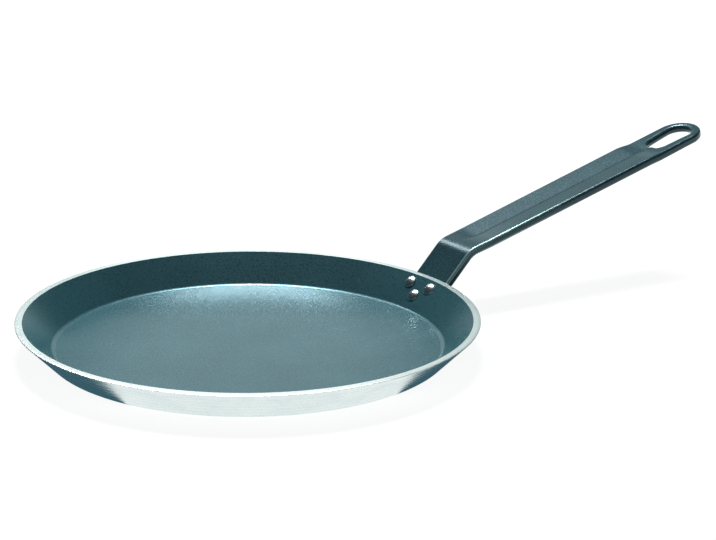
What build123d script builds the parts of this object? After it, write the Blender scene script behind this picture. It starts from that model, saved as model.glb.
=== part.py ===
from build123d import *
import os
from math import atan2, copysign, cos, radians, sin, sqrt, tan

os.makedirs("parts", exist_ok=True)

# Crepe pan: a thick pressed aluminium body, its dark non-stick lining, a one-piece strip-steel handle
# and the three rivets that join them.
# Frame: the origin is the middle of the flat underside, +Z is up and the handle points along +X.
# Lengths are millimetres and angles are degrees.

# Pan body: one pressed disc with a straight flared wall and a bare machined rim
rim_diameter = 300.0
pan_height = 22.5
wall_slope = 45.0
wall_thickness = 3.8
base_thickness = 3.5
inner_bend_radius = 5.0
rim_roll_width = 2.6
rim_roll_drop = 0.35
rim_edge_radius = 0.3

# Non-stick lining on the floor and the inside of the wall
lining_thickness = 0.25

# Handle: one steel strip with a tang, a bend, a grip with a shallow valley and a hanging loop
strip_width = 34.3
strip_thickness = 5.8
strip_edge_radius = 1.8
tang_overlap = 23.6
tang_corner_radius = 12.0
tang_clearance = 0.05
tang_rise = 27.6
bend_radius = 18.0
grip_slope = 14.0
grip_length = 225.6
grip_swell = 1.3
valley_depth = 2.0
crease_half_width = 1.4
valley_run_in = 16.0
valley_run_out = 14.0
loop_inset = 0.35
loop_band = 6.5
slot_length = 36.8
slot_heel_width = 14.2
slot_lead = 3.5
slot_edge_radius = 2.6

# Rivets: a domed head on the lining and a flatter set head on the back of the tang
rivet_shank_diameter = 5.0
rivet_head_diameter = 9.0
rivet_head_height = 2.0
rivet_head_lip = 0.4
rivet_head_sink = 0.15
rivet_tail_diameter = 8.0
rivet_tail_height = 1.8
rivet_tail_lip = 0.5
rivet_inset = 6.75
rivet_upper_depth = 6.8
rivet_row_gap = 8.1
rivet_clearance = 0.05

# Steps in each stretch where the strip turns from flat to valley, and from valley to flat
run_steps = 4

# Share of the strip's thickness by which edges that meet are told from edges that don't
lap_share = 0.001

# Values that follow from the ones above
rim_radius = rim_diameter / 2
bend_angle = wall_slope - grip_slope
bend_tangent = bend_radius * tan(radians(bend_angle / 2))
swelled_width = strip_width + grip_swell
loop_width = strip_width - 2 * loop_inset
slot_width = loop_width - 2 * loop_band
rivet_spacing = strip_width - 2 * rivet_inset
loop_flat = slot_lead + slot_length + loop_band
lap = strip_thickness * lap_share


def unit(angle: float) -> Vector:
    """Direction in the handle's upright plane, at an angle above the table."""
    return Vector(cos(radians(angle)), 0, sin(radians(angle)))


def rim_corner_inset() -> float:
    """How far the rim's outermost point lies inside the sharp corner that its rounding replaces."""
    roll_angle = 2 * atan2(rim_roll_drop, rim_roll_width)
    half_corner = (radians(wall_slope) - roll_angle) / 2 + roll_angle
    centre_distance = rim_edge_radius / sin(half_corner)
    centre_inset = centre_distance * cos(half_corner - roll_angle)
    return centre_inset - rim_edge_radius


corner_radius = rim_radius + rim_corner_inset()
apex_radius = corner_radius + rim_roll_drop / tan(radians(wall_slope))


def wall_radius(height: float, depth: float = 0.0) -> float:
    """Radius of the wall's outer face at a height, or of a face parallel to it, depth further in."""
    return apex_radius - (pan_height - height) / tan(radians(wall_slope)) - depth / sin(radians(wall_slope))


def upright_face(points: list, arcs: dict = None) -> Face:
    """Face in the XZ plane through (radius, height) points; arcs maps an edge's first index to its mid point."""
    arcs = arcs or {}
    edges = []
    for i, start in enumerate(points):
        stop = points[(i + 1) % len(points)]
        ends = [Vector(start[0], 0, start[1]), Vector(stop[0], 0, stop[1])]
        if i in arcs:
            middle = Vector(arcs[i][0], 0, arcs[i][1])
            edges.append(Edge.make_three_point_arc(ends[0], middle, ends[1]))
        else:
            edges.append(Edge.make_line(ends[0], ends[1]))
    return Face(Wire(edges))


def round_corner(face: Face, point: tuple, radius: float) -> Face:
    """Rounds the corner of an upright face that lies at a (radius, height) point."""
    corner = face.vertices().sort_by_distance(Vector(point[0], 0, point[1]))[0]
    return face.fillet_2d(radius, [corner])


def pan_blank() -> Part:
    """The aluminium body before its rivet holes are drilled."""
    base_corner = (wall_radius(0), 0)
    rim_corner = (corner_radius, pan_height - rim_roll_drop)
    land_edge = (corner_radius - rim_roll_width, pan_height)
    rim_inner = (wall_radius(pan_height, wall_thickness), pan_height)
    floor_corner = (wall_radius(base_thickness, wall_thickness), base_thickness)
    # the roll leaves the flat land without a kink, so the arc's middle is a quarter of its drop down
    roll_middle = ((rim_corner[0] + land_edge[0]) / 2, pan_height - rim_roll_drop / 4)
    outline = [(0, 0), base_corner, rim_corner, land_edge, rim_inner, floor_corner, (0, base_thickness)]
    face = upright_face(outline, {2: roll_middle})
    face = round_corner(face, base_corner, inner_bend_radius + wall_thickness)
    face = round_corner(face, floor_corner, inner_bend_radius)
    face = round_corner(face, rim_corner, rim_edge_radius)
    return revolve(face, Axis.Z)


def lining_blank() -> Part:
    """The lining before the rivets pass through it: an even layer on the floor and wall."""
    floor_top = base_thickness + lining_thickness
    reach = wall_thickness + lining_thickness
    outer_corner = (wall_radius(base_thickness, wall_thickness), base_thickness)
    inner_corner = (wall_radius(floor_top, reach), floor_top)
    outline = [
        (0, base_thickness),
        outer_corner,
        (wall_radius(pan_height, wall_thickness), pan_height),
        (wall_radius(pan_height, reach), pan_height),
        inner_corner,
        (0, floor_top),
    ]
    face = upright_face(outline)
    face = round_corner(face, outer_corner, inner_bend_radius)
    face = round_corner(face, inner_corner, inner_bend_radius - lining_thickness)
    return revolve(face, Axis.Z)


def tang_plane() -> Plane:
    """Plane of the tang's face on the wall: X runs up the strip from the rim's height, Z points into the pan."""
    outward = unit(wall_slope - 90)
    origin = Vector(apex_radius, 0, pan_height) + outward * tang_clearance
    return Plane(origin=origin, x_dir=unit(wall_slope), z_dir=unit(wall_slope + 90))


def grip_plane() -> Plane:
    """Plane of the grip's upper edges: X runs along the grip from the sharp corner of the bend."""
    tang = tang_plane()
    corner = tang.origin + tang.x_dir * tang_rise
    return Plane(origin=corner, x_dir=unit(grip_slope), z_dir=unit(grip_slope + 90))


def strip_plate(start: float, stop: float, width: float, corner: float, overrun: float) -> Part:
    """Flat stretch of strip from start to stop, its far corners rounded and all its long edges eased.

    The near end is made longer by overrun and cut square, so that it meets the next stretch full size.
    """
    sign = 1 if stop > start else -1
    length = abs(stop - start) + overrun
    middle = (start + stop - sign * overrun) / 2
    outline = Pos(middle, 0) * Rectangle(length, width)
    far_corners = outline.vertices().sort_by(Axis.X)[-2:] if sign > 0 else outline.vertices().sort_by(Axis.X)[:2]
    outline = fillet(far_corners, corner)
    plate = extrude(outline, amount=-strip_thickness)
    faces = plate.faces().sort_by(Axis.Z)
    plate = fillet(faces[0].edges() + faces[-1].edges(), strip_edge_radius)
    side = Keep.TOP if sign > 0 else Keep.BOTTOM
    return split(plate, bisect_by=Plane(origin=(start, 0, 0), z_dir=(1, 0, 0)), keep=side)


def strip_section(width: float, valley: float, drop: float) -> Face:
    """Section of the strip, width along X: its upper edges lie drop below zero and its middle valley deeper."""
    fold = atan2(valley, width / 2)
    along = Vector(cos(fold), sin(fold))
    normal = Vector(-sin(fold), cos(fold))
    crease = Vector(0, -drop - valley)
    ridge = crease - Vector(0, strip_thickness / cos(fold))
    upper = Vector(width / 2, -drop)
    lower = upper - normal * strip_thickness
    ease = strip_edge_radius
    lift = Vector(0, crease_half_width * tan(fold / 2))
    half = []
    half.append(Edge.make_line(crease + along * crease_half_width, upper - along * ease))
    half.append(corner_arc(upper, along * -1, normal * -1))
    half.append(Edge.make_line(upper - normal * ease, lower + normal * ease))
    half.append(corner_arc(lower, normal, along * -1))
    half.append(Edge.make_line(lower - along * ease, ridge + along * crease_half_width))
    other = [edge.mirror(Plane.YZ) for edge in half]
    middles = []
    for root in (crease, ridge):
        left = root + Vector(-along.X, along.Y) * crease_half_width
        right = root + along * crease_half_width
        if valley:
            middles.append(Edge.make_three_point_arc(left, root + lift, right))
        else:
            middles.append(Edge.make_line(left, right))
    return Face(Wire(half + other + middles))


def corner_arc(corner: Vector, first: Vector, second: Vector) -> Edge:
    """Arc that eases a square corner, given the directions of the two edges that leave it."""
    ease = strip_edge_radius
    centre = corner + (first + second) * ease
    middle = centre - (first + second).normalized() * ease
    return Edge.make_three_point_arc(corner + first * ease, middle, corner + second * ease)


def grip_section(distance: float, width: float, valley: float, drop: float) -> Face:
    """The strip's section set square to the grip at a distance from the bend's sharp corner."""
    grip = grip_plane()
    place = Plane(origin=grip.origin + grip.x_dir * distance, x_dir=(0, 1, 0), z_dir=grip.x_dir)
    return place * strip_section(width, valley, drop)


def run_stretch(start: float, length: float, first: tuple, last: tuple) -> Part:
    """Stretch of grip whose (width, valley, drop) eases from first to last."""
    sections = []
    for i in range(run_steps + 1):
        share = i / run_steps
        eased = share * share * (3 - 2 * share)
        width, valley, drop = (a + (b - a) * eased for a, b in zip(first, last))
        sections.append(grip_section(start + length * share, width, valley, drop))
    return loft(sections, ruled=True)


def handle_blank() -> Part:
    """The whole strip before its rivet holes are drilled."""
    tang = tang_plane()
    grip = grip_plane()
    tang_top = tang_rise - bend_tangent
    plate = tang * strip_plate(tang_top, -tang_overlap, strip_width, tang_corner_radius, strip_thickness)
    # the bend turns the tang's square end about an axis under its face
    bend_face = plate.faces().sort_by(Axis(tang.origin, tang.x_dir))[-1]
    centre = tang.origin + tang.x_dir * tang_top - tang.z_dir * bend_radius
    bend = revolve(bend_face, Axis(centre, (0, 1, 0)), bend_angle)
    # grip with its valley, which swells a little towards the flat loop
    loop_start = grip_length - loop_flat
    valley_end = loop_start - valley_run_out
    valley_start = bend_tangent + valley_run_in
    flat = (strip_width, 0, 0)
    folded = (strip_width, valley_depth, 0)
    swelled = (swelled_width, valley_depth, 0)
    level = (loop_width, 0, valley_depth / 2)
    run_in = run_stretch(bend_tangent, valley_run_in, flat, folded)
    channel = loft([grip_section(valley_start, *folded), grip_section(valley_end, *swelled)], ruled=True)
    run_out = run_stretch(valley_end, valley_run_out, swelled, level)
    loop = grip * Pos(0, 0, -valley_depth / 2) * hanging_loop(loop_start)
    return plate + bend + run_in + channel + run_out + loop


def slot_outline() -> Face:
    """The hanging slot, round at both ends and narrower towards the grip; X is as in hanging_loop."""
    far_end = grip_length - loop_band
    heel_middle = far_end - slot_length + slot_heel_width / 2
    tip = Pos(far_end - slot_width / 2, 0) * Circle(slot_width / 2)
    heel = Pos(heel_middle, 0) * Circle(slot_heel_width / 2)
    return make_hull(tip.edges() + heel.edges()).face()


def hanging_loop(start: float) -> Part:
    """Flat end of the strip, round at the tip, with its long slot; X is the distance from the bend's corner."""
    plate = strip_plate(start, grip_length, loop_width, loop_width / 2 - lap, strip_thickness)
    plate = plate - extrude(slot_outline(), amount=-strip_thickness, dir=(0, 0, 1))
    return fillet(plate.edges().filter_by(is_slot_rim), slot_edge_radius)


def is_slot_rim(edge: Edge) -> bool:
    """Whether an edge of the loop runs round the slot's mouth, above or below."""
    box = edge.bounding_box()
    level = box.size.Z < lap
    inside = max(abs(box.min.Y), abs(box.max.Y)) < slot_width / 2 + lap
    clear_of_end = box.min.X > grip_length - loop_band - slot_length - lap
    return level and inside and clear_of_end


def rivet_places() -> dict:
    """Name of each rivet, its distance below the rim's height along the tang and its place across it."""
    # a line square to the tang reaches the wall's inner edge from a little below the rim's height
    inner_edge = (wall_thickness + lining_thickness) / tan(radians(wall_slope))
    upper = inner_edge + rivet_upper_depth
    lower = upper + rivet_row_gap
    return {
        "rivet_left": (upper, rivet_spacing / 2),
        "rivet_right": (upper, -rivet_spacing / 2),
        "rivet_lower": (lower, 0),
    }


def rivet_reach(depth: float, across: float) -> float:
    """Height of the lining's face above the tang's face at a rivet: the round wall leaves the flat tang."""
    straight = tang_clearance + wall_thickness + lining_thickness
    slope = radians(wall_slope)
    radius = apex_radius - depth * cos(slope) - straight * sin(slope)
    hollow = (radius - sqrt(radius**2 - across**2)) * sin(slope)
    return straight + hollow


def rivet_solid(depth: float, across: float, growth: float) -> Part:
    """One rivet in place, or with growth the cutter of its hole and of its head's shallow seat."""
    seat = rivet_reach(depth, across) - rivet_head_sink - growth
    crown = rivet_reach(depth, across) + rivet_head_height
    shank = rivet_shank_diameter / 2 + growth
    head = rivet_head_diameter / 2 + growth
    tail = rivet_tail_diameter / 2
    back = -strip_thickness
    head_edge = seat + growth + rivet_head_sink + rivet_head_lip
    tail_edge = back - rivet_tail_lip
    end = back - rivet_tail_height
    points = [(0, end), (tail, tail_edge), (tail, back), (shank, back), (shank, seat), (head, seat)]
    points += [(head, head_edge), (0, crown)]
    arcs = {
        0: dome_middle(tail, end, tail_edge),
        6: dome_middle(head, crown, head_edge),
    }
    spun = revolve(upright_face(points, arcs), Axis.Z)
    return tang_plane() * Pos(-depth, across, 0) * spun


def dome_middle(radius: float, top: float, edge: float) -> tuple:
    """Mid point of the arc of a shallow dome from its top, on the axis, to its edge."""
    rise = top - edge
    ball = (radius**2 + rise**2) / (2 * rise)
    half = radius / 2
    drop = ball - copysign(sqrt(ball**2 - half**2), ball)
    return (half, top - drop)


def make_parts() -> dict:
    """Every piece of the pan by its node name."""
    body, lining, handle = pan_blank(), lining_blank(), handle_blank()
    pieces = {}
    for name, (depth, across) in rivet_places().items():
        cutter = rivet_solid(depth, across, rivet_clearance)
        body, lining, handle = body - cutter, lining - cutter, handle - cutter
        pieces[name] = rivet_solid(depth, across, 0)
    return {"pan_body": body, "lining": lining, "handle": handle, **pieces}


for node, shape in make_parts().items():
    export_step(shape, f"parts/{node}.step")
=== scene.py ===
"""Crepe pan: bare turned aluminium body, dark non-stick lining, coated strip-steel handle and three rivets.

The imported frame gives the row's origin and axes: +Z up from the flat underside, +X along the handle.
Sizes are written in millimetres and angles in degrees, and turned to metres and radians where they are used.
"""

from __future__ import annotations

import logging
import math
from dataclasses import dataclass, field
from enum import Enum

import bmesh
import bpy
from mathutils import Matrix, Vector

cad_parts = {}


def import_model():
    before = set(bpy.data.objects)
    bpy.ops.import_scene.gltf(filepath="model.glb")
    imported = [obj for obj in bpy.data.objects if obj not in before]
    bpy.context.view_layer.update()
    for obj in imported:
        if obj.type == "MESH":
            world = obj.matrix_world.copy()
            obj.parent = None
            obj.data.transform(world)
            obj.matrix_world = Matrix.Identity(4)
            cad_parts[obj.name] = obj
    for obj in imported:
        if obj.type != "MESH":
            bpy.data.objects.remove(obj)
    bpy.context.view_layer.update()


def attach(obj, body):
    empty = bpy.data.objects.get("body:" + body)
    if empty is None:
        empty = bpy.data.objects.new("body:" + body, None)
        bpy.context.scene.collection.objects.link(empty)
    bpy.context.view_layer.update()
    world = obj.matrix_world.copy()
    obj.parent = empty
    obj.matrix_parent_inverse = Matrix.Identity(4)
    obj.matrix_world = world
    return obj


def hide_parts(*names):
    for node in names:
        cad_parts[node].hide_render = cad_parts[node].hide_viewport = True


LOG = logging.getLogger("crepe_pan")
MM = 0.001
ROOT_BODY = "root"
# the points on the handle's eased edges, for real wear and for the painted light next to the pan
EDGE_WEAR_AND_LIGHT = "edge_wear_and_light"
ROUND_MAP = "round"
# a quarter turn from the grooves, which run along the tangent
ACROSS_GROOVES = 0.25
# spans of noise values: nearly all of them, their main part, and the middle that gives soft patches
WIDE_SPAN = (0.25, 0.75)
MAIN_SPAN = (0.3, 0.7)
PATCH_SPAN = (0.35, 0.65)
# numbers of the Mix node's sockets, whose names repeat: its share, two numbers, two colours and results
MIX_SHARE, MIX_NUMBER_1, MIX_NUMBER_2, MIX_COLOUR_1, MIX_COLOUR_2 = 0, 2, 3, 6, 7
MIX_NUMBER, MIX_COLOUR = 0, 2
# the bevel profile that draws a round arc, and the material number that leaves a face its own
ROUND_ARC = 0.5
OWN_MATERIAL = -1
# in millimetres, how near two points are to be one, and how near to a plane one is to be on it
MERGE_REACH = 0.001
CUT_REACH = 0.002
# the weight at which large faces alone set the normals, so that flat faces look flat
LARGE_FACES_ONLY = 100


class Slot(Enum):
    """The names of the record's material slots."""

    ALUMINIUM = "bare_aluminium"
    LINING = "nonstick_lining"
    COATING = "handle_coating"
    RIVET = "rivet_metal"


def to_linear(hex_colour: str) -> tuple[float, float, float, float]:
    """Turns an sRGB hex colour into the linear colour that a shader takes.

    Args:
        hex_colour: A colour such as "#8CA0A6".

    Returns:
        Red, green, blue and an alpha of 1.
    """
    channels = [int(hex_colour[i : i + 2], 16) / 255 for i in (1, 3, 5)]
    red, green, blue = (c / 12.92 if c <= 0.04045 else ((c + 0.055) / 1.055) ** 2.4 for c in channels)
    return red, green, blue, 1.0


def add_node(
    tree: bpy.types.NodeTree,
    kind: str,
    settings: dict[str, object] | None = None,
    inputs: dict[str | int, object] | None = None,
) -> bpy.types.Node:
    """Adds a node with its settings and links.

    Args:
        tree: The node tree that the node joins.
        kind: The node's type name.
        settings: Values of the node's own properties.
        inputs: Values by input name or number; an output socket is linked, any other value is set.

    Returns:
        The new node.
    """
    node = tree.nodes.new(kind)
    for name, value in (settings or {}).items():
        setattr(node, name, value)
    for name, value in (inputs or {}).items():
        if isinstance(value, bpy.types.NodeSocket):
            tree.links.new(value, node.inputs[name])
        else:
            node.inputs[name].default_value = value
    return node


def new_tree(name: str) -> tuple[bpy.types.Material, bpy.types.NodeTree]:
    """Makes an empty node material.

    Args:
        name: The material's name.

    Returns:
        The material and its cleared node tree.
    """
    material = bpy.data.materials.new(name)
    material.use_nodes = True
    material.node_tree.nodes.clear()
    return material, material.node_tree


def output_surface(tree: bpy.types.NodeTree, shader: bpy.types.NodeSocket) -> None:
    """Links a shader to the material's surface output.

    Args:
        tree: The material's tree.
        shader: The shader's socket.
    """
    add_node(tree, "ShaderNodeOutputMaterial", inputs={"Surface": shader})


def ring_scale(spacing_mm: float) -> float:
    """Gives the scale of a Wave Texture's rings on coordinates in metres.

    Args:
        spacing_mm: The distance from ring to ring.

    Returns:
        The scale; at scale 1 the rings lie 2 pi / 20 of a metre apart.
    """
    return (2 * math.pi / 20) / (spacing_mm * MM)


def smooth_share(distance: float, length: float) -> float:
    """Gives the share of a length that is covered, eased at both ends.

    Args:
        distance: The distance covered; below zero nothing is.
        length: The length over which the share goes from 0 to 1.

    Returns:
        The share, from 0 to 1.
    """
    share = min(max(distance / length, 0.0), 1.0)
    return share * share * (3 - 2 * share)


def noise_band(
    tree: bpy.types.NodeTree,
    place: bpy.types.NodeSocket,
    size_mm: float,
    span: tuple[float, float],
    results: tuple[float, float] = (0.0, 1.0),
    detail: float = 2.0,
) -> bpy.types.NodeSocket:
    """Adds noise whose middle values are spread over a range of results.

    Args:
        tree: The tree that the nodes join.
        place: The coordinates that the noise follows.
        size_mm: The size of its main lumps.
        span: The noise values that become the two results; noise is mostly between 0.3 and 0.7.
        results: The results at the two ends of the span.
        detail: How many finer layers the noise has.

    Returns:
        The result's socket.
    """
    # the main lumps are about 1 / scale across
    scale = 1.0 / (size_mm * MM)
    noise = add_node(tree, "ShaderNodeTexNoise", inputs={"Vector": place, "Scale": scale, "Detail": detail})
    band = add_node(
        tree,
        "ShaderNodeMapRange",
        inputs={
            "Value": noise.outputs["Fac"],
            "From Min": span[0],
            "From Max": span[1],
            "To Min": results[0],
            "To Max": results[1],
        },
    )
    return band.outputs["Result"]


def blended(
    tree: bpy.types.NodeTree, share: bpy.types.NodeSocket, first: object, second: object
) -> bpy.types.NodeSocket:
    """Adds a mix of two colours.

    Args:
        tree: The tree that the node joins.
        share: The second colour's share.
        first: The first colour, as a hex string or a socket.
        second: The second colour, as a hex string or a socket.

    Returns:
        The mixed colour's socket.
    """
    colours = [to_linear(colour) if isinstance(colour, str) else colour for colour in (first, second)]
    mix = add_node(
        tree,
        "ShaderNodeMix",
        {"data_type": "RGBA"},
        {MIX_SHARE: share, MIX_COLOUR_1: colours[0], MIX_COLOUR_2: colours[1]},
    )
    return mix.outputs[MIX_COLOUR]


def ramp(
    tree: bpy.types.NodeTree, value: bpy.types.NodeSocket, start: float, stop: float, top: float = 1.0
) -> bpy.types.NodeSocket:
    """Adds a smooth ramp.

    Args:
        tree: The tree that the node joins.
        value: The value that it follows.
        start: The value at which the ramp is 0.
        stop: The value at which it reaches its top.
        top: Its highest result.

    Returns:
        The ramp's socket.
    """
    node = add_node(
        tree,
        "ShaderNodeMapRange",
        {"interpolation_type": "SMOOTHSTEP"},
        {"Value": value, "From Min": start, "From Max": stop, "To Max": top},
    )
    return node.outputs["Result"]


@dataclass(frozen=True)
class TurnedAluminium:
    """Bare aluminium turned on a lathe: fine grooves round the pan draw highlights out across them."""

    colour: str = "#E9F4F3"
    # a thin oxide and handling dull the metal in soft patches
    dulled_colour: str = "#E2EFEE"
    roughness: tuple[float, float] = (0.26, 0.34)
    anisotropy: float = 0.6
    # real turning marks are 0.1 to 0.2 mm apart; 0.6 mm is the finest that the render can show
    groove_spacing: float = 0.6
    groove_depth: float = 0.02
    groove_strength: float = 0.02
    # the tool's slower chatter, a few millimetres wide
    chatter: float = 3.0
    # how far the rings of each stray, and how many finer layers their straying has
    groove_stray: tuple[float, float] = (0.4, 2.0)
    chatter_stray: tuple[float, float] = (3.0, 3.0)
    # the size of the dulled patches, and the noise values over which they come in
    streak: float = 14.0
    streak_span: tuple[float, float] = (0.4, 0.65)
    # the rim is faced last and left a plain even satin, from this height in millimetres up
    rim_starts: tuple[float, float] = (18.8, 20.4)
    rim_roughness: float = 0.29

    def material(self) -> bpy.types.Material:
        """Builds the material.

        Returns:
            The turned aluminium material.
        """
        material, tree = new_tree("turned_aluminium")
        place = add_node(tree, "ShaderNodeTexCoord").outputs["Object"]
        grooves, chatter = (
            add_node(
                tree,
                "ShaderNodeTexWave",
                {"wave_type": "RINGS", "rings_direction": "Z"},
                {"Vector": place, "Scale": ring_scale(spacing), "Distortion": stray, "Detail": detail},
            ).outputs["Fac"]
            for spacing, (stray, detail) in (
                (self.groove_spacing, self.groove_stray),
                (self.chatter, self.chatter_stray),
            )
        )
        least, most = self.roughness
        turned = add_node(
            tree, "ShaderNodeMapRange", inputs={"Value": chatter, "To Min": least, "To Max": most}
        )
        height = add_node(tree, "ShaderNodeSeparateXYZ", inputs={0: place}).outputs["Z"]
        on_rim = ramp(tree, height, self.rim_starts[0] * MM, self.rim_starts[1] * MM)
        roughness, anisotropy, strength = (
            add_node(
                tree,
                "ShaderNodeMix",
                {"data_type": "FLOAT"},
                {MIX_SHARE: on_rim, MIX_NUMBER_1: wall, MIX_NUMBER_2: rim},
            ).outputs[MIX_NUMBER]
            for wall, rim in (
                (turned.outputs["Result"], self.rim_roughness),
                (self.anisotropy, 0.0),
                (self.groove_strength, 0.0),
            )
        )
        dulled = noise_band(tree, place, self.streak, self.streak_span)
        bump = add_node(
            tree,
            "ShaderNodeBump",
            inputs={"Height": grooves, "Strength": strength, "Distance": self.groove_depth * MM},
        )
        tangent = add_node(tree, "ShaderNodeTangent", {"direction_type": "UV_MAP", "uv_map": ROUND_MAP})
        shader = add_node(
            tree,
            "ShaderNodeBsdfPrincipled",
            inputs={
                "Base Color": blended(tree, dulled, self.colour, self.dulled_colour),
                "Metallic": 1.0,
                "Roughness": roughness,
                "Anisotropic": anisotropy,
                "Anisotropic Rotation": ACROSS_GROOVES,
                "Normal": bump.outputs["Normal"],
                "Tangent": tangent.outputs["Tangent"],
            },
        )
        output_surface(tree, shader.outputs["BSDF"])
        return material


@dataclass(frozen=True)
class BakedCoat:
    """A sprayed and baked coat: a dark satin skin with a fine grain, its two tones in soft patches."""

    colour: str
    patch_colour: str
    patch: float
    roughness: tuple[float, float]
    # pearl pigment makes the coat mirror a blue-green light, like a metal, over part of it
    metallic: float
    # the same pigment gives it a blue-green bloom at low angles
    bloom: float
    grain: float
    grain_strength: float
    bloom_colour: str = "#35C3C8"
    bloom_roughness: float = 0.45
    index: float = 1.5
    grain_depth: float = 0.03
    grain_detail: float = 3.0
    patch_detail: float = 2.0

    def toned(self, tree: bpy.types.NodeTree, place: bpy.types.NodeSocket) -> bpy.types.NodeSocket:
        """Adds the coat's two tones.

        Args:
            tree: The material's tree.
            place: The coordinates that the patches follow.

        Returns:
            The colour's socket.
        """
        patches = noise_band(tree, place, self.patch, PATCH_SPAN, detail=self.patch_detail)
        return blended(tree, patches, self.colour, self.patch_colour)

    def add_skin(
        self,
        tree: bpy.types.NodeTree,
        place: bpy.types.NodeSocket,
        colour: bpy.types.NodeSocket,
        roughness: bpy.types.NodeSocket,
    ) -> None:
        """Adds the grain and the skin, and links it to the material's output.

        Args:
            tree: The material's tree.
            place: The coordinates that the grain follows.
            colour: The skin's colour.
            roughness: Its roughness.
        """
        grain = noise_band(tree, place, self.grain, WIDE_SPAN, detail=self.grain_detail)
        bump = add_node(
            tree,
            "ShaderNodeBump",
            inputs={"Height": grain, "Strength": self.grain_strength, "Distance": self.grain_depth * MM},
        )
        shader = add_node(
            tree,
            "ShaderNodeBsdfPrincipled",
            inputs={
                "Base Color": colour,
                "Metallic": self.metallic,
                "Sheen Weight": self.bloom,
                "Sheen Roughness": self.bloom_roughness,
                "Sheen Tint": to_linear(self.bloom_colour),
                "Roughness": roughness,
                "IOR": self.index,
                "Normal": bump.outputs["Normal"],
            },
        )
        output_surface(tree, shader.outputs["BSDF"])


@dataclass(frozen=True)
class NonStickLining(BakedCoat):
    """Sprayed and baked fluoropolymer: dark blue-grey with an orange-peel grain and fine flecks."""

    colour: str = "#2D555F"
    # the sprayed coat is a little thinner and paler in soft patches
    patch_colour: str = "#335C66"
    patch: float = 45.0
    roughness: tuple[float, float] = (0.25, 0.36)
    metallic: float = 0.5
    bloom: float = 0.2
    # the sprayed grain is about 0.8 mm from crest to crest, drawn at 1.3 mm so that the render shows it
    grain: float = 1.3
    grain_strength: float = 0.2
    # mineral flecks are under 0.1 mm; at 0.9 mm they are as fine as the render can show
    fleck: float = 0.9
    fleck_colour: str = "#557A84"
    # the noise values over which a fleck comes in
    fleck_span: tuple[float, float] = (0.6, 0.78)

    def material(self) -> bpy.types.Material:
        """Builds the material.

        Returns:
            The lining material.
        """
        material, tree = new_tree("sprayed_nonstick_lining")
        place = add_node(tree, "ShaderNodeTexCoord").outputs["Object"]
        flecks = noise_band(tree, place, self.fleck, self.fleck_span, detail=1.0)
        colour = blended(tree, flecks, self.toned(tree, place), self.fleck_colour)
        self.add_skin(tree, place, colour, noise_band(tree, place, self.grain, MAIN_SPAN, self.roughness))
        return material


@dataclass(frozen=True)
class BakedSteelCoating(BakedCoat):
    """Baked epoxy coating on strip steel: dark blue-green, sandy, rubbed on its edges, with painted light on
    the edges next to the pan.
    """

    colour: str = "#27444D"
    patch_colour: str = "#2D4C55"
    patch: float = 18.0
    patch_detail: float = 3.0
    roughness: tuple[float, float] = (0.22, 0.3)
    metallic: float = 0.4
    bloom: float = 0.15
    # the coating's sandy texture is about 0.5 mm, drawn at 0.9 mm so that it shows
    grain: float = 0.9
    grain_strength: float = 0.4
    # where the eased edges rub on hooks and shelves the coat is polished thin and the steel greys it
    worn_colour: str = "#3C585D"
    worn_roughness: float = 0.36
    # wear comes in runs of a few millimetres along an edge, over these noise values
    wear_run: float = 5.0
    wear_span: tuple[float, float] = (0.42, 0.68)
    # painted light: the strip's edges next to the pan are painted paler as a highlight, less and less along
    # the grip
    painted_edge_light_colour: str = "#8FB3B3"
    # where the painted light ends and where it is full, in millimetres from the pan's axis
    painted_light_span: tuple[float, float] = (300.0, 185.0)

    def material(self) -> bpy.types.Material:
        """Builds the material.

        Returns:
            The coating material.
        """
        material, tree = new_tree("baked_coating_on_steel")
        place = add_node(tree, "ShaderNodeTexCoord").outputs["Object"]
        edge = add_node(tree, "ShaderNodeAttribute", {"attribute_name": EDGE_WEAR_AND_LIGHT})
        along = add_node(tree, "ShaderNodeSeparateXYZ", inputs={0: place}).outputs["X"]
        # painted light: a share that is full on the edges next to the pan, standing in for light falling
        # there
        near_pan_light = ramp(tree, along, self.painted_light_span[0] * MM, self.painted_light_span[1] * MM)
        rubbed = noise_band(tree, place, self.wear_run, self.wear_span, detail=4.0)
        # the edges take real rubbed wear and the painted highlight next to the pan
        rubbed_and_lit = add_node(tree, "ShaderNodeMath", {"operation": "MAXIMUM"}, {0: near_pan_light, 1: rubbed})
        wear_and_edge_light = add_node(
            tree, "ShaderNodeMath", {"operation": "MULTIPLY"}, {0: edge.outputs["Fac"], 1: rubbed_and_lit.outputs[0]}
        ).outputs[0]
        # the edges' colour: rubbed steel grey, turning to a painted pale highlight next to the pan
        worn_and_lit = blended(tree, near_pan_light, self.worn_colour, self.painted_edge_light_colour)
        roughness = add_node(
            tree,
            "ShaderNodeMix",
            {"data_type": "FLOAT"},
            {
                MIX_SHARE: wear_and_edge_light,
                MIX_NUMBER_1: noise_band(tree, place, self.grain, MAIN_SPAN, self.roughness),
                MIX_NUMBER_2: self.worn_roughness,
            },
        ).outputs[MIX_NUMBER]
        self.add_skin(tree, place, blended(tree, wear_and_edge_light, self.toned(tree, place), worn_and_lit), roughness)
        return material


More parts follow.
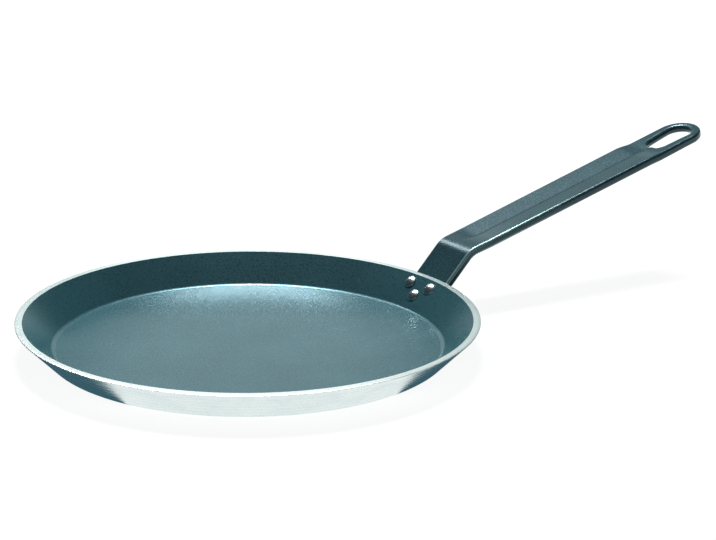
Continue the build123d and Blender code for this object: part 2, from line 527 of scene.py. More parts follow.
@dataclass(frozen=True)
class RivetMetal:
    """Cold-headed aluminium: smooth and bright, with the faint dulling and dimples of the forming die."""

    colour: str = "#DCEBF0"
    dulled_colour: str = "#C4D6DC"
    roughness: tuple[float, float] = (0.2, 0.32)
    dulling: float = 2.0
    dimple: float = 0.8
    dimple_depth: float = 0.02
    dimple_strength: float = 0.5

    def material(self) -> bpy.types.Material:
        """Builds the material.

        Returns:
            The rivet material.
        """
        material, tree = new_tree("headed_aluminium_rivet")
        place = add_node(tree, "ShaderNodeTexCoord").outputs["Object"]
        dulled = noise_band(tree, place, self.dulling, PATCH_SPAN)
        dimples = noise_band(tree, place, self.dimple, MAIN_SPAN)
        bump = add_node(
            tree,
            "ShaderNodeBump",
            inputs={"Height": dimples, "Strength": self.dimple_strength, "Distance": self.dimple_depth * MM},
        )
        shader = add_node(
            tree,
            "ShaderNodeBsdfPrincipled",
            inputs={
                "Base Color": blended(tree, dulled, self.colour, self.dulled_colour),
                "Metallic": 1.0,
                "Roughness": noise_band(tree, place, self.dulling, MAIN_SPAN, self.roughness),
                "Normal": bump.outputs["Normal"],
            },
        )
        output_surface(tree, shader.outputs["BSDF"])
        return material


@dataclass(frozen=True)
class Corner:
    """A corner of a turned profile: its distance from the axis, height and rounding, in millimetres."""

    across: float
    height: float
    rounding: float = 0.0


def round_off(mesh: bmesh.types.BMesh, items: list[object], reach: float, steps: int, kind: str) -> None:
    """Rounds corners or edges.

    Args:
        mesh: The mesh that they belong to.
        items: The corners' points, or the edges.
        reach: How far from each one its rounding begins.
        steps: Segments in each rounding.
        kind: "VERTICES" for points, or "EDGES".
    """
    bmesh.ops.bevel(
        mesh,
        geom=items,
        offset=reach,
        offset_type="OFFSET",
        segments=steps,
        profile=ROUND_ARC,
        affect=kind,
        material=OWN_MATERIAL,
    )


def rounded_profile(corners: list[Corner], arc_steps: int) -> bmesh.types.BMesh:
    """Draws an open profile in the XZ plane and rounds its corners.

    Args:
        corners: The corners in order.
        arc_steps: Segments in each rounded corner.

    Returns:
        A mesh of one chain of edges, in metres.
    """
    mesh = bmesh.new()
    points = [mesh.verts.new((c.across * MM, 0.0, c.height * MM)) for c in corners]
    for first, second in zip(points, points[1:]):
        mesh.edges.new((first, second))
    for before, corner, after, point in zip(corners, corners[1:], corners[2:], points[1:]):
        if not corner.rounding:
            continue
        inward = Vector((before.across - corner.across, before.height - corner.height))
        outward = Vector((after.across - corner.across, after.height - corner.height))
        reach = corner.rounding / math.tan(inward.angle(outward) / 2)
        round_off(mesh, [point], reach * MM, arc_steps, "VERTICES")
    return mesh


def turned_body(corners: list[Corner], arc_steps: int, turn_steps: int) -> bmesh.types.BMesh:
    """Turns a profile into a closed body about the Z axis.

    Args:
        corners: The profile's corners in order, the first and the last on the axis.
        arc_steps: Segments in each rounded corner.
        turn_steps: Segments round the axis.

    Returns:
        The body's mesh, in metres.
    """
    mesh = rounded_profile(corners, arc_steps)
    bmesh.ops.spin(
        mesh,
        geom=mesh.verts[:] + mesh.edges[:],
        cent=(0.0, 0.0, 0.0),
        axis=(0.0, 0.0, 1.0),
        angle=2 * math.pi,
        steps=turn_steps,
        use_merge=True,
    )
    bmesh.ops.remove_doubles(mesh, verts=mesh.verts[:], dist=MERGE_REACH * MM)
    bmesh.ops.recalc_face_normals(mesh, faces=mesh.faces[:])
    return mesh


def map_round(mesh: bmesh.types.BMesh) -> None:
    """Gives a turned body a UV map that runs round the axis, for the direction of its turning marks.

    Args:
        mesh: The body's mesh.
    """
    layer = mesh.loops.layers.uv.new(ROUND_MAP)
    for face in mesh.faces:
        middle = face.calc_center_median()
        turn = math.atan2(middle.y, middle.x)
        for loop in face.loops:
            place = loop.vert.co
            angle = math.atan2(place.y, place.x)
            angle += 2 * math.pi * round((turn - angle) / (2 * math.pi))
            loop[layer].uv = (angle / (2 * math.pi), math.hypot(place.x, place.y) + place.z)


def add_object(name: str, data: bpy.types.ID) -> bpy.types.Object:
    """Adds an object to the scene.

    Args:
        name: The object's name.
        data: Its mesh, light or camera.

    Returns:
        The new object.
    """
    made = bpy.data.objects.new(name, data)
    bpy.context.scene.collection.objects.link(made)
    return made


def add_mesh(name: str, mesh: bmesh.types.BMesh, material: bpy.types.Material) -> bpy.types.Object:
    """Adds a mesh to the scene as an object.

    Args:
        name: The object's name.
        mesh: Its mesh, in metres; it is freed.
        material: Its material.

    Returns:
        The new object.
    """
    data = bpy.data.meshes.new(name)
    mesh.to_mesh(data)
    mesh.free()
    data.materials.append(material)
    return add_object(name, data)


def finish_piece(
    name: str, mesh: bmesh.types.BMesh, material: bpy.types.Material, node: str
) -> bpy.types.Object:
    """Turns a finished mesh into a piece that stands for a node of the frame.

    Args:
        name: The piece's name.
        mesh: Its mesh, in the row's frame and in metres; it is freed.
        material: Its material.
        node: The frame node that it stands for.

    Returns:
        The new object.
    """
    piece = add_mesh(name, mesh, material)
    piece.data.shade_smooth()
    piece.modifiers.new("even_normals", "WEIGHTED_NORMAL").weight = LARGE_FACES_ONLY
    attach(piece, ROOT_BODY)
    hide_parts(node)
    LOG.info("%s stands for %s with %d faces", name, node, len(piece.data.polygons))
    return piece


@dataclass(frozen=True)
class WallSizes:
    """The sizes of the flared wall that the body, the lining and the handle share."""

    rim_radius: float = 150.0
    height: float = 22.5
    slope: float = 45.0
    thickness: float = 3.8
    base: float = 3.5
    inner_bend: float = 5.0
    roll_width: float = 2.6
    roll_drop: float = 0.35
    edge_radius: float = 0.3
    lining: float = 0.25

    @property
    def roll(self) -> float:
        """Angle at which the rolled rim reaches its edge, in radians."""
        return 2 * math.atan2(self.roll_drop, self.roll_width)

    @property
    def corner_radius(self) -> float:
        """Distance from the axis of the sharp corner that the rim's rounding replaces."""
        slope = math.radians(self.slope)
        reach = self.edge_radius / math.sin((slope + self.roll) / 2)
        return self.rim_radius + reach * math.cos((slope - self.roll) / 2) - self.edge_radius

    @property
    def apex_radius(self) -> float:
        """Distance from the axis at which the wall's outer face would meet the rim's height."""
        return self.corner_radius + self.roll_drop / math.tan(math.radians(self.slope))

    def radius(self, height: float, depth: float = 0.0) -> float:
        """Gives the distance from the axis of the wall's outer face, or of a face inside it.

        Args:
            height: The height above the underside.
            depth: How deep in the wall the face lies.

        Returns:
            The distance in millimetres.
        """
        slope = math.radians(self.slope)
        return self.apex_radius - (self.height - height) / math.tan(slope) - depth / math.sin(slope)


@dataclass
class PanBody:
    """The aluminium body: base, flared wall and bare machined rim, turned from one profile."""

    wall: WallSizes
    rim_break: float = 0.12
    arc_steps: int = 14
    turn_steps: int = 360

    def profile(self) -> list[Corner]:
        """Corners of the body's profile, from the middle of the underside to the middle of the floor."""
        wall = self.wall
        roll_radius = wall.roll_width / math.sin(wall.roll)
        return [
            Corner(0.0, 0.0),
            Corner(wall.radius(0.0), 0.0, wall.inner_bend + wall.thickness),
            Corner(wall.corner_radius, wall.height - wall.roll_drop, wall.edge_radius),
            Corner(wall.corner_radius - wall.roll_width / 2, wall.height, roll_radius),
            Corner(wall.radius(wall.height, wall.thickness), wall.height, self.rim_break),
            Corner(wall.radius(wall.base, wall.thickness), wall.base, wall.inner_bend),
            Corner(0.0, wall.base),
        ]

    def build(self, material: bpy.types.Material) -> bpy.types.Object:
        """Makes the body.

        Args:
            material: The turned aluminium.

        Returns:
            The body's object.
        """
        mesh = turned_body(self.profile(), self.arc_steps, self.turn_steps)
        map_round(mesh)
        return finish_piece("turned_body", mesh, material, "pan_body")


@dataclass
class Lining:
    """The non-stick lining: an even skin on the floor and the inside of the wall, up to the rim."""

    wall: WallSizes
    arc_steps: int = 14
    turn_steps: int = 360

    def profile(self) -> list[Corner]:
        """Corners of the lining's profile, from the middle of its back to the middle of its face."""
        wall = self.wall
        reach = wall.thickness + wall.lining
        top = wall.base + wall.lining
        return [
            Corner(0.0, wall.base),
            Corner(wall.radius(wall.base, wall.thickness), wall.base, wall.inner_bend),
            Corner(wall.radius(wall.height, wall.thickness), wall.height),
            Corner(wall.radius(wall.height, reach), wall.height),
            Corner(wall.radius(top, reach), top, wall.inner_bend - wall.lining),
            Corner(0.0, top),
        ]

    def build(self, material: bpy.types.Material) -> bpy.types.Object:
        """Makes the lining.

        Args:
            material: The sprayed lining.

        Returns:
            The lining's object.
        """
        mesh = turned_body(self.profile(), self.arc_steps, self.turn_steps)
        return finish_piece("sprayed_lining", mesh, material, "lining")


@dataclass
class StripHandle:
    """The handle, pressed from one steel strip: tang, bend, grip with a shallow valley, and hanging loop."""

    wall: WallSizes
    width: float = 34.3
    thickness: float = 5.8
    edge_radius: float = 1.8
    # points nearer than this share of the edge's radius to a face or a side aren't on the eased edge
    face_share: float = 0.02
    tang_overlap: float = 23.6
    tang_corner: float = 12.0
    tang_clearance: float = 0.05
    tang_rise: float = 27.6
    bend_radius: float = 18.0
    grip_slope: float = 14.0
    grip_length: float = 225.6
    grip_swell: float = 1.3
    valley_depth: float = 2.0
    crease_half_width: float = 1.4
    run_in: float = 16.0
    run_out: float = 14.0
    loop_inset: float = 0.35
    loop_band: float = 6.5
    slot_length: float = 36.8
    slot_heel_width: float = 14.2
    slot_lead: float = 3.5
    slot_edge_radius: float = 2.6
    arc_steps: int = 20
    edge_steps: int = 5
    bend_cuts: int = 10
    run_cuts: int = 12
    leg_cuts: int = 12
    crease_cuts: int = 4

    @property
    def bend_angle(self) -> float:
        """Angle that the strip turns through between tang and grip, in radians."""
        return math.radians(self.wall.slope - self.grip_slope)

    @property
    def bend_tangent(self) -> float:
        """Distance from the bend's sharp corner to where the bend begins or ends."""
        return self.bend_radius * math.tan(self.bend_angle / 2)

    @property
    def bend_start(self) -> float:
        """Distance along the strip, from the rim's height, at which the bend begins."""
        return self.tang_rise - self.bend_tangent

    @property
    def bend_end(self) -> float:
        """Distance along the strip at which the bend ends and the grip begins."""
        return self.bend_start + self.bend_radius * self.bend_angle

    @property
    def strip_end(self) -> float:
        """Distance along the strip of the loop's tip."""
        return self.bend_end + self.grip_length - self.bend_tangent

    @property
    def slot_end(self) -> float:
        """Distance along the strip of the slot's far end."""
        return self.strip_end - self.loop_band

    @property
    def slot_start(self) -> float:
        """Distance along the strip of the slot's near end."""
        return self.slot_end - self.slot_length

    @property
    def heel_end(self) -> float:
        """Distance along the strip at which the slot's round near end becomes its straight sides."""
        return self.slot_start + self.slot_heel_width / 2

    @property
    def slot_half(self) -> float:
        """Half the slot's width at its wide end."""
        return self.width / 2 - self.loop_inset - self.loop_band

    @property
    def loop_start(self) -> float:
        """Distance along the strip at which it has narrowed to the loop's width."""
        return self.slot_start - self.slot_lead

    @property
    def tip_middle(self) -> float:
        """Distance along the strip of the middle of the loop's round tip, and of the slot's wide end."""
        return self.strip_end - self.width / 2 + self.loop_inset

    @property
    def swell_start(self) -> float:
        """Distance along the strip at which the valley is full and the grip begins to swell."""
        return self.bend_end + self.run_in

    @property
    def swell_end(self) -> float:
        """Distance along the strip at which the grip is widest and narrows towards the loop."""
        return self.loop_start - self.run_out

    def half_width(self, station: float) -> float:
        """Gives half the strip's width, the loop's round tip apart.

        Args:
            station: The distance along the strip.

        Returns:
            Half the width in millimetres.
        """
        half = self.width / 2
        swelled = half + self.grip_swell / 2
        if station < self.swell_end:
            share = max(station - self.swell_start, 0.0) / (self.swell_end - self.swell_start)
            return half + (swelled - half) * share
        narrowed = smooth_share(station - self.swell_end, self.run_out)
        return swelled + (half - self.loop_inset - swelled) * narrowed

    @property
    def tang_plane(self) -> Matrix:
        """Axes of the tang's face on the wall: X up the strip from the rim's height, Z into the pan."""
        slope = math.radians(self.wall.slope)
        origin = Vector((self.wall.apex_radius, 0.0, self.wall.height))
        origin += Vector((math.sin(slope), 0.0, -math.cos(slope))) * self.tang_clearance
        return Matrix.Translation(origin) @ Matrix.Rotation(-slope, 4, "Y")

    def flat_half(self) -> bmesh.types.BMesh:
        """Draws one half of the strip's flat outline, slot included, with its corners rounded.

        Returns:
            A mesh of one face, with X along the strip and Y across it, in millimetres.
        """
        half = self.width / 2
        loop_half = half - self.loop_inset
        heel_half = self.slot_heel_width / 2
        neck = [self.swell_end + self.run_out * i / self.run_cuts for i in range(self.run_cuts + 1)]
        # a full rounding would end on the next point, which lies on the centre line
        nearly = 0.999
        outline = [
            (-self.tang_overlap, 0.0, 0.0),
            (-self.tang_overlap, half, self.tang_corner),
            *((station, self.half_width(station), 0.0) for station in (self.swell_start, *neck)),
            (self.strip_end, loop_half, loop_half * nearly),
            (self.strip_end, 0.0, 0.0),
            (self.slot_end, 0.0, 0.0),
            (self.slot_end, self.slot_half, self.slot_half * nearly),
            (self.slot_start, heel_half, heel_half * nearly),
            (self.slot_start, 0.0, 0.0),
        ]
        mesh = bmesh.new()
        points = [mesh.verts.new((along, across, 0.0)) for along, across, _ in outline]
        mesh.faces.new(points)
        for point, (_, _, rounding) in zip(points, outline):
            if rounding:
                round_off(mesh, [point], rounding, self.arc_steps, "VERTICES")
        return mesh

    def stations(self) -> list[float]:
        """Distances along the strip at which it is cut, so that it can bend and fold there."""
        spans = [
            (self.bend_start, self.bend_end, self.bend_cuts),
            (self.bend_end, self.swell_start, self.run_cuts),
            (self.swell_end, self.loop_start, self.run_cuts),
            (self.heel_end, self.tip_middle, self.leg_cuts),
        ]
        places = {start + (stop - start) * i / cuts for start, stop, cuts in spans for i in range(cuts + 1)}
        return sorted(places)

    def cut(self, mesh: bmesh.types.BMesh, place: Vector, direction: Vector) -> None:
        """Cuts every face along a plane, keeping both sides.

        Args:
            mesh: The mesh to cut.
            place: A point of the plane.
            direction: The plane's direction.
        """
        geometry = mesh.verts[:] + mesh.edges[:] + mesh.faces[:]
        bmesh.ops.bisect_plane(mesh, geom=geometry, dist=CUT_REACH, plane_co=place, plane_no=direction)

    def flat_plate(self) -> bmesh.types.BMesh:
        """Makes the whole flat strip with its thickness, its edges eased and its cuts in place.

        Returns:
            The flat strip's mesh, its top face at zero height, in millimetres.
        """
        mesh = self.flat_half()
        # the slot's round heel is cut at its own points, which leaves no slivers beside them
        heel = {round(v.co.x, 3) for v in mesh.verts if self.slot_start < v.co.x < self.heel_end}
        for station in sorted([*self.stations(), *heel]):
            self.cut(mesh, Vector((station, 0.0, 0.0)), Vector((1.0, 0.0, 0.0)))
        for i in range(1, self.crease_cuts + 1):
            across = self.crease_half_width * i / self.crease_cuts
            self.cut(mesh, Vector((0.0, across, 0.0)), Vector((0.0, 1.0, 0.0)))
        geometry = mesh.verts[:] + mesh.edges[:] + mesh.faces[:]
        bmesh.ops.mirror(mesh, geom=geometry, axis="Y", merge_dist=MERGE_REACH)
        bmesh.ops.recalc_face_normals(mesh, faces=mesh.faces[:])
        lower = bmesh.ops.extrude_face_region(mesh, geom=mesh.faces[:], use_keep_orig=True)
        moved = [item for item in lower["geom"] if isinstance(item, bmesh.types.BMVert)]
        bmesh.ops.translate(mesh, vec=(0.0, 0.0, -self.thickness), verts=moved)
        bmesh.ops.recalc_face_normals(mesh, faces=mesh.faces[:])
        self.ease_edges(mesh)
        self.mark_wear_and_light(mesh)
        return mesh

    def mark_wear_and_light(self, mesh: bmesh.types.BMesh) -> None:
        """Marks the points on the eased edges, where the coating wears first and where painted light goes
        next to the pan.

        Args:
            mesh: The flat strip's mesh.
        """
        layer = mesh.verts.layers.float.new(EDGE_WEAR_AND_LIGHT)
        for vertex in mesh.verts:
            depth = -vertex.co.z
            below_face = min(depth, self.thickness - depth)
            vertex[layer] = float(self.face_share < below_face / self.edge_radius < 1 - self.face_share)

    def ease_edges(self, mesh: bmesh.types.BMesh) -> None:
        """Rounds the strip's outer edges and the slot's edges, each to its own radius.

        Args:
            mesh: The flat strip's mesh.
        """
        # an edge is sharp where its faces turn by more than this share of a right angle
        right_angle_share = 0.8
        sharp = [edge for edge in mesh.edges if edge.calc_face_angle(0.0) > right_angle_share * math.pi / 2]
        first, last = self.slot_start + self.slot_half, self.slot_end - self.slot_half
        slot, outer = [], []
        for edge in sharp:
            middle = (edge.verts[0].co + edge.verts[1].co) / 2
            beyond = middle.x - min(max(middle.x, first), last)
            at_slot = math.hypot(beyond, middle.y) < self.slot_half + self.loop_band / 2
            (slot if at_slot else outer).append(edge)
        for edges, radius in ((outer, self.edge_radius), (slot, self.slot_edge_radius)):
            round_off(mesh, edges, radius, self.edge_steps, "EDGES")

    def fold_depths(self, station: float) -> tuple[float, float]:
        """Gives how far the strip is pressed down.

        Args:
            station: The distance along the strip.

        Returns:
            The valley's depth there, and the drop of the strip's upper edges.
        """
        rise = smooth_share(station - self.bend_end, self.run_in)
        fall = smooth_share(station - self.swell_end, self.run_out)
        # the valley runs into the slot and dies away along the loop's two legs
        fading = smooth_share(station - self.swell_end, self.tip_middle - self.swell_end)
        return self.valley_depth * rise * (1 - fading), self.valley_depth / 2 * fall

    def folded(self, place: Vector) -> Vector:
        """Moves a point of the flat strip to the pressed strip's section, before the bend.

        Args:
            place: A point of the flat strip.

        Returns:
            The point with the valley pressed in.
        """
        valley, drop = self.fold_depths(place.x)
        half = self.half_width(place.x)
        fold = math.atan2(valley, half)
        depth = -place.z
        share = abs(place.y) / half
        middle = -drop - valley - depth / math.cos(fold)
        edge = -drop - depth * math.cos(fold)
        reach = max(self.crease_half_width - abs(place.y), 0.0)
        lift = math.tan(fold) * reach * reach / (2 * self.crease_half_width)
        return Vector(
            (place.x, place.y * (1 + depth * math.sin(fold) / half), middle + (edge - middle) * share + lift)
        )

    def bent(self, place: Vector) -> Vector:
        """Moves a point of the pressed strip to its place on the tang, in the bend or on the grip.

        Args:
            place: A point of the pressed strip, in the strip's own axes.

        Returns:
            The point in the row's frame, in millimetres.
        """
        turned = min(max(place.x - self.bend_start, 0.0), self.bend_end - self.bend_start) / self.bend_radius
        straight = place.x - self.bend_start - turned * self.bend_radius
        pivot = Vector((self.bend_start, 0.0, -self.bend_radius))
        arm = Vector((straight, place.y, self.bend_radius + place.z))
        return self.tang_plane @ (pivot + Matrix.Rotation(turned, 3, "Y") @ arm)

    def build(self, material: bpy.types.Material) -> bpy.types.Object:
        """Makes the handle.

        Args:
            material: The baked coating.

        Returns:
            The handle's object.
        """
        mesh = self.flat_plate()
        for vertex in mesh.verts:
            vertex.co = self.bent(self.folded(vertex.co)) * MM
        return finish_piece("strip_handle", mesh, material, "handle")


@dataclass
class Rivet:
    """One rivet: a domed head on the lining, a shank through wall and tang, and a flatter set head behind."""

    handle: StripHandle
    node: str
    depth: float
    across: float
    shank_diameter: float = 5.0
    head_diameter: float = 9.0
    head_height: float = 2.0
    head_lip: float = 0.4
    head_sink: float = 0.15
    tail_diameter: float = 8.0
    tail_height: float = 1.8
    tail_lip: float = 0.5
    dome_steps: int = 10
    turn_steps: int = 48

    @property
    def reach(self) -> float:
        """Height of the lining's face above the tang's face at the rivet, where the wall curves away."""
        wall = self.handle.wall
        slope = math.radians(wall.slope)
        straight = self.handle.tang_clearance + wall.thickness + wall.lining
        radius = wall.apex_radius - self.depth * math.cos(slope) - straight * math.sin(slope)
        return straight + (radius - math.sqrt(radius**2 - self.across**2)) * math.sin(slope)

    def dome(self, radius: float, top: float, edge: float) -> list[Corner]:
        """Points of a shallow dome, from beside its top to its edge.

        Args:
            radius: The dome's radius at its edge.
            top: Height of the dome's top.
            edge: Height of its edge.

        Returns:
            The dome's points, without the one on the axis.
        """
        rise = top - edge
        ball = (radius**2 + rise**2) / (2 * abs(rise))
        widest = math.asin(radius / ball)
        angles = [widest * i / self.dome_steps for i in range(1, self.dome_steps + 1)]
        sign = math.copysign(1.0, rise)
        return [Corner(ball * math.sin(a), top - sign * ball * (1 - math.cos(a))) for a in angles]

    def profile(self) -> list[Corner]:
        """Corners of the rivet's profile, from the end of its tail to the top of its head."""
        back = -self.handle.thickness
        end = back - self.tail_height
        seat = self.reach - self.head_sink
        crown = self.reach + self.head_height
        head_edge = self.reach + self.head_lip
        corners = [Corner(0.0, end)]
        corners += self.dome(self.tail_diameter / 2, end, back - self.tail_lip)
        corners.append(Corner(self.tail_diameter / 2, back))
        corners.append(Corner(self.shank_diameter / 2, back))
        corners.append(Corner(self.shank_diameter / 2, seat))
        corners.append(Corner(self.head_diameter / 2, seat))
        corners += reversed(self.dome(self.head_diameter / 2, crown, head_edge))
        corners.append(Corner(0.0, crown))
        return corners

    def build(self, material: bpy.types.Material) -> bpy.types.Object:
        """Makes the rivet.

        Args:
            material: The headed aluminium.

        Returns:
            The rivet's object.
        """
        # its profile has no rounded corners, so one step is enough
        mesh = turned_body(self.profile(), 1, self.turn_steps)
        place = self.handle.tang_plane @ Matrix.Translation((-self.depth, self.across, 0.0))
        place.translation *= MM
        bmesh.ops.transform(mesh, matrix=place, verts=mesh.verts[:])
        return finish_piece(self.node + "_headed", mesh, material, self.node)


@dataclass
class RivetRow:
    """The three rivets: two under the rim and one below, on the centre line."""

    handle: StripHandle
    spacing: float = 20.8
    upper_depth: float = 6.8
    row_gap: float = 8.1

    def rivets(self) -> list[Rivet]:
        """Places the rivets, measured down the wall from its inner edge at the rim."""
        wall = self.handle.wall
        inner_edge = (wall.thickness + wall.lining) / math.tan(math.radians(wall.slope))
        upper = inner_edge + self.upper_depth
        return [
            Rivet(self.handle, "rivet_left", upper, self.spacing / 2),
            Rivet(self.handle, "rivet_right", upper, -self.spacing / 2),
            Rivet(self.handle, "rivet_lower", upper + self.row_gap, 0.0),
        ]

    def build(self, material: bpy.types.Material) -> list[bpy.types.Object]:
        """Makes the three rivets.

        Args:
            material: The headed aluminium.

        Returns:
            Their objects.
        """
        return [rivet.build(material) for rivet in self.rivets()]


@dataclass(frozen=True)
class PhotoCamera:
    """The photograph's viewpoint, as fitted to the rim, the floor and the handle."""

    wall: WallSizes
    distance: float = 1681.0
    elevation: float = 18.21
    handle_turn: float = 34.14
    roll: float = 0.35
    frame_width_px: float = 716.0
    frame_height_px: float = 540.0
    focal_px: float = 2600.0
    rim_centre_px: tuple[float, float] = (248.2, 315.7)
    sensor_width: float = 36.0
    # metres, far beyond the edge of the paper floor
    clip_end: float = 100.0

    def build(self) -> bpy.types.Object:
        """Makes the camera and gives it to the scene.

        Returns:
            The camera's object.
        """
        turn, rise = math.radians(self.handle_turn), math.radians(self.elevation)
        level = Vector((math.sin(turn), math.cos(turn), 0.0))
        forward = level * math.cos(rise) - Vector((0.0, 0.0, math.sin(rise)))
        right = Vector((math.cos(turn), -math.sin(turn), 0.0))
        aim = Matrix((right, right.cross(forward), -forward)).transposed()
        # the rim's centre lies left of and below the middle of the frame
        left_px = self.frame_width_px / 2 - self.rim_centre_px[0]
        below_px = self.rim_centre_px[1] - self.frame_height_px / 2
        yaw = math.atan2(left_px, self.focal_px)
        pitch = math.atan2(below_px, math.hypot(self.focal_px, left_px))
        aim = aim @ Matrix.Rotation(-yaw, 3, "Y") @ Matrix.Rotation(pitch, 3, "X")
        aim = aim @ Matrix.Rotation(-math.radians(self.roll), 3, "Z")
        data = bpy.data.cameras.new("photo_camera")
        data.sensor_width = self.sensor_width
        data.lens = self.focal_px / self.frame_width_px * self.sensor_width
        data.clip_end = self.clip_end
        camera = add_object("photo_camera", data)
        place = (Vector((0.0, 0.0, self.wall.height)) - forward * self.distance) * MM
        camera.matrix_world = Matrix.Translation(place) @ aim.to_4x4()
        bpy.context.scene.camera = camera
        return camera


@dataclass(frozen=True)
class StudioPlace:
    """A place round the pan, as the photographer sees it, and the size of what stands there.

    The turn is in degrees to the left of straight behind the pan, so 180 is in front of it; the rise is in
    degrees above the table, and the distance and the size are in metres.
    """

    turn: float
    rise: float
    distance: float
    size: tuple[float, float]

    def matrix(self, handle_turn: float) -> Matrix:
        """Where the thing stands, facing the pan.

        Args:
            handle_turn: The camera's turn from the row's Y axis, in degrees.

        Returns:
            Its place and aim in the row's frame.
        """
        turn = math.radians(90.0 - handle_turn + self.turn)
        rise = math.radians(self.rise)
        outward = Vector((math.cos(turn) * math.cos(rise), math.sin(turn) * math.cos(rise), math.sin(rise)))
        aim = (-outward).to_track_quat("-Z", "Y").to_matrix().to_4x4()
        return Matrix.Translation(outward * self.distance) @ aim


@dataclass(frozen=True)
class SoftLight:
    """A softbox: its name, where it stands and its power in watts."""

    name: str
    place: StudioPlace
    power: float

    def build(self, handle_turn: float) -> bpy.types.Object:
        """Makes the light.

        Args:
            handle_turn: The camera's turn from the row's Y axis, in degrees.

        Returns:
            The light's object.
        """
        data = bpy.data.lights.new(self.name, "AREA")
        data.shape = "RECTANGLE"
        data.size, data.size_y = self.place.size
        data.energy = self.power
        light = add_object(self.name, data)
        light.matrix_world = self.place.matrix(handle_turn)
        light.visible_camera = False
        return light


@dataclass(frozen=True)
class StudioRoom:
    """What the pan mirrors: a pale wall behind it, a dimmer one in front, and dark sides and ceiling.

    Sides are sines of the angle to the side, and tops are sines of the height above the table; each pair
    gives where a wall ends and where it has its full light.
    """

    behind: Vector
    # pale blue-green walls give the dark skins and the metal the photograph's cool cast
    wall_colour: str = "#E6F6F6"
    backdrop_colour: str = "#FFFFFF"
    dark: float = 0.04
    # the wall behind reaches a little further to the right
    back_shift: float = 0.05
    back_light: float = 0.6
    back_sides: tuple[float, float] = (0.5, 0.3)
    back_top: tuple[float, float] = (0.47, 0.4)
    front_light: float = 0.5
    front_sides: tuple[float, float] = (0.8, 0.6)
    front_top: tuple[float, float] = (0.3, 0.2)
    soft_corner: float = 0.1

    def build(self) -> bpy.types.World:
        """Makes the world: plain white for the camera, and the room for every other ray.

        Returns:
            The world.
        """
        world = bpy.data.worlds.new("studio_room")
        world.use_nodes = True
        tree = world.node_tree
        tree.nodes.clear()
        aim = add_node(tree, "ShaderNodeTexCoord").outputs["Generated"]
        height = add_node(tree, "ShaderNodeSeparateXYZ", inputs={0: aim}).outputs["Z"]
        dot = add_node(tree, "ShaderNodeVectorMath", {"operation": "DOT_PRODUCT"}, {0: aim, 1: self.behind})
        behind = dot.outputs["Value"]
        right = self.behind.cross(Vector((0.0, 0.0, 1.0)))
        dot = add_node(tree, "ShaderNodeVectorMath", {"operation": "DOT_PRODUCT"}, {0: aim, 1: right})
        shifted = add_node(
            tree, "ShaderNodeMath", {"operation": "SUBTRACT"}, {0: dot.outputs["Value"], 1: self.back_shift}
        )
        distance = add_node(tree, "ShaderNodeMath", {"operation": "ABSOLUTE"}, {0: shifted.outputs[0]})
        aside = distance.outputs[0]
        walls = []
        for end, sides, top, light in (
            (self.soft_corner, self.back_sides, self.back_top, self.back_light),
            (-self.soft_corner, self.front_sides, self.front_top, self.front_light),
        ):
            wall = ramp(tree, behind, 0.0, end, light)
            for share in (ramp(tree, aside, *sides), ramp(tree, height, *top)):
                product = add_node(tree, "ShaderNodeMath", {"operation": "MULTIPLY"}, {0: wall, 1: share})
                wall = product.outputs[0]
            walls.append(wall)
        lit = add_node(tree, "ShaderNodeMath", {"operation": "ADD"}, {0: walls[0], 1: walls[1]}).outputs[0]
        room = add_node(tree, "ShaderNodeMath", {"operation": "MAXIMUM"}, {0: lit, 1: self.dark}).outputs[0]
        seen = add_node(tree, "ShaderNodeLightPath").outputs["Is Camera Ray"]
        strength = add_node(tree, "ShaderNodeMath", {"operation": "MAXIMUM"}, {0: seen, 1: room}).outputs[0]
        colour = blended(tree, seen, self.wall_colour, self.backdrop_colour)
        glow = add_node(tree, "ShaderNodeBackground", inputs={"Color": colour, "Strength": strength})
        add_node(tree, "ShaderNodeOutputWorld", inputs={"Surface": glow.outputs[0]})
        bpy.context.scene.world = world
        return world


@dataclass(frozen=True)
class StageSheet:
    """A level sheet of the stage: the paper floor, or the sheet of painted shade under the pan."""

    name: str
    size: tuple[float, float]
    middle: Vector
    turn: float

    def build(self, material: bpy.types.Material) -> bpy.types.Object:
        """Makes the sheet.

        Args:
            material: Its material.

        Returns:
            The sheet's object.
        """
        mesh = bmesh.new()
        # a grid of size 0.5 is one metre across
        bmesh.ops.create_grid(mesh, x_segments=1, y_segments=1, size=0.5)
        bmesh.ops.scale(mesh, vec=(*self.size, 1.0), verts=mesh.verts[:])
        place = Matrix.Rotation(self.turn, 4, "Z") @ Matrix.Translation(self.middle)
        bmesh.ops.transform(mesh, matrix=place, verts=mesh.verts[:])
        sheet = add_mesh(self.name, mesh, material)
        return sheet


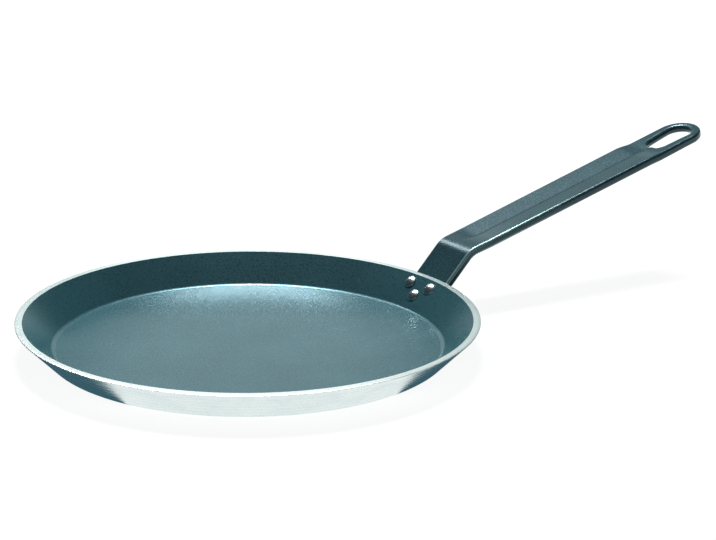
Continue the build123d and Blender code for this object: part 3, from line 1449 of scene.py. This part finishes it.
@dataclass
class Studio:
    """The plain studio: a pale floor, a sheet of painted shade under the pan, a simple room and three soft
    lights.

    Its sizes are in metres.
    """

    camera_turn: float
    floor_size: float = 12.0
    floor_colour: str = "#7C7E7E"
    # white paper as the camera and the metal see it, with a faint shadow of the pan on it
    floor_glow: float = 0.92
    # a hair above the pan's flat underside, which the sheet would flicker with
    floor_height: float = 0.00002
    # painted shade: a dark glowing sheet that only the metal mirrors, in place of the shaded floor under the
    # wall
    painted_shade_colour: str = "#3C5F6C"
    shade_card_size: tuple[float, float] = (0.5, 0.16)
    # the card starts 98 mm in front of the pan's middle, and its front edge runs a little away to the right
    shade_card_front: float = -0.098
    shade_card_height: float = 0.00015
    shade_card_turn: float = 5.0
    lights: list[SoftLight] = field(
        default_factory=lambda: [
            SoftLight("key_softbox", StudioPlace(2.0, 62.5, 2.4, (0.75, 0.5)), 85.0),
            SoftLight("rear_softbox", StudioPlace(0.0, 18.5, 0.65, (0.26, 0.2)), 0.09),
            SoftLight("side_softbox", StudioPlace(22.0, 42.0, 1.35, (0.22, 0.2)), 2.0),
        ]
    )

    @property
    def behind_turn(self) -> float:
        """Turn of the direction straight behind the pan from the row's X axis, in radians."""
        return math.radians(90.0 - self.camera_turn)

    def build_floor(self) -> bpy.types.Object:
        """Makes the floor.

        Returns:
            The floor's object.
        """
        material, tree = new_tree("pale_paper_floor")
        paper = add_node(
            tree, "ShaderNodeBsdfDiffuse", inputs={"Color": to_linear(self.floor_colour), "Roughness": 1.0}
        )
        path = add_node(tree, "ShaderNodeLightPath")
        seen = path.outputs["Is Camera Ray"]
        for ray in ("Is Glossy Ray", "Is Transmission Ray"):
            seen = add_node(
                tree, "ShaderNodeMath", {"operation": "MAXIMUM"}, {0: seen, 1: path.outputs[ray]}
            ).outputs[0]
        strength = add_node(
            tree, "ShaderNodeMath", {"operation": "MULTIPLY"}, {0: seen, 1: self.floor_glow}
        ).outputs[0]
        glow = add_node(tree, "ShaderNodeEmission", inputs={"Strength": strength})
        both = add_node(tree, "ShaderNodeAddShader", inputs={0: paper.outputs[0], 1: glow.outputs[0]})
        # clear from below, so that the pan's underside can be looked at
        below = add_node(tree, "ShaderNodeNewGeometry").outputs["Backfacing"]
        clear = add_node(tree, "ShaderNodeBsdfTransparent").outputs[0]
        sheet = add_node(tree, "ShaderNodeMixShader", inputs={0: below, 1: both.outputs[0], 2: clear})
        output_surface(tree, sheet.outputs[0])
        middle = Vector((0.0, 0.0, self.floor_height))
        return StageSheet("paper_floor", (self.floor_size, self.floor_size), middle, 0.0).build(material)

    def build_painted_shade_card(self) -> bpy.types.Object:
        """Makes the sheet of painted shade under the pan: a dark glow that only the metal mirrors, painting
        shade on the wall's two sides.

        Returns:
            The card's object.
        """
        material, tree = new_tree("painted_shade_card")
        # painted shade: the sheet glows dark and only the metal mirrors it, standing in for the floor's shade
        # under the wall
        glow = add_node(tree, "ShaderNodeEmission", inputs={"Color": to_linear(self.painted_shade_colour)})
        output_surface(tree, glow.outputs[0])
        middle = Vector((0.0, self.shade_card_front + self.shade_card_size[1] / 2, self.shade_card_height))
        turn = self.behind_turn - math.pi / 2 + math.radians(self.shade_card_turn)
        card = StageSheet("painted_shade_card", self.shade_card_size, middle, turn).build(material)
        card.visible_camera = card.visible_diffuse = card.visible_shadow = False
        return card

    def build(self) -> None:
        """Makes the room, the floor, the sheet of painted shade and the lights."""
        StudioRoom(Vector((math.cos(self.behind_turn), math.sin(self.behind_turn), 0.0))).build()
        self.build_floor()
        self.build_painted_shade_card()
        for light in self.lights:
            light.build(self.camera_turn)


def main() -> None:
    """Builds the pan around the frame, piece by piece, and the studio round it."""
    logging.basicConfig(level=logging.INFO, format="%(name)s: %(message)s")
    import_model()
    wall = WallSizes()
    camera = PhotoCamera(wall)
    camera.build()
    PanBody(wall).build(TurnedAluminium().material())
    Lining(wall).build(NonStickLining().material())
    handle = StripHandle(wall)
    handle.build(BakedSteelCoating().material())
    RivetRow(handle).build(RivetMetal().material())
    Studio(camera.handle_turn).build()
    scene = bpy.context.scene
    scene.view_settings.view_transform = "Standard"


if __name__ == "__main__":
    main()
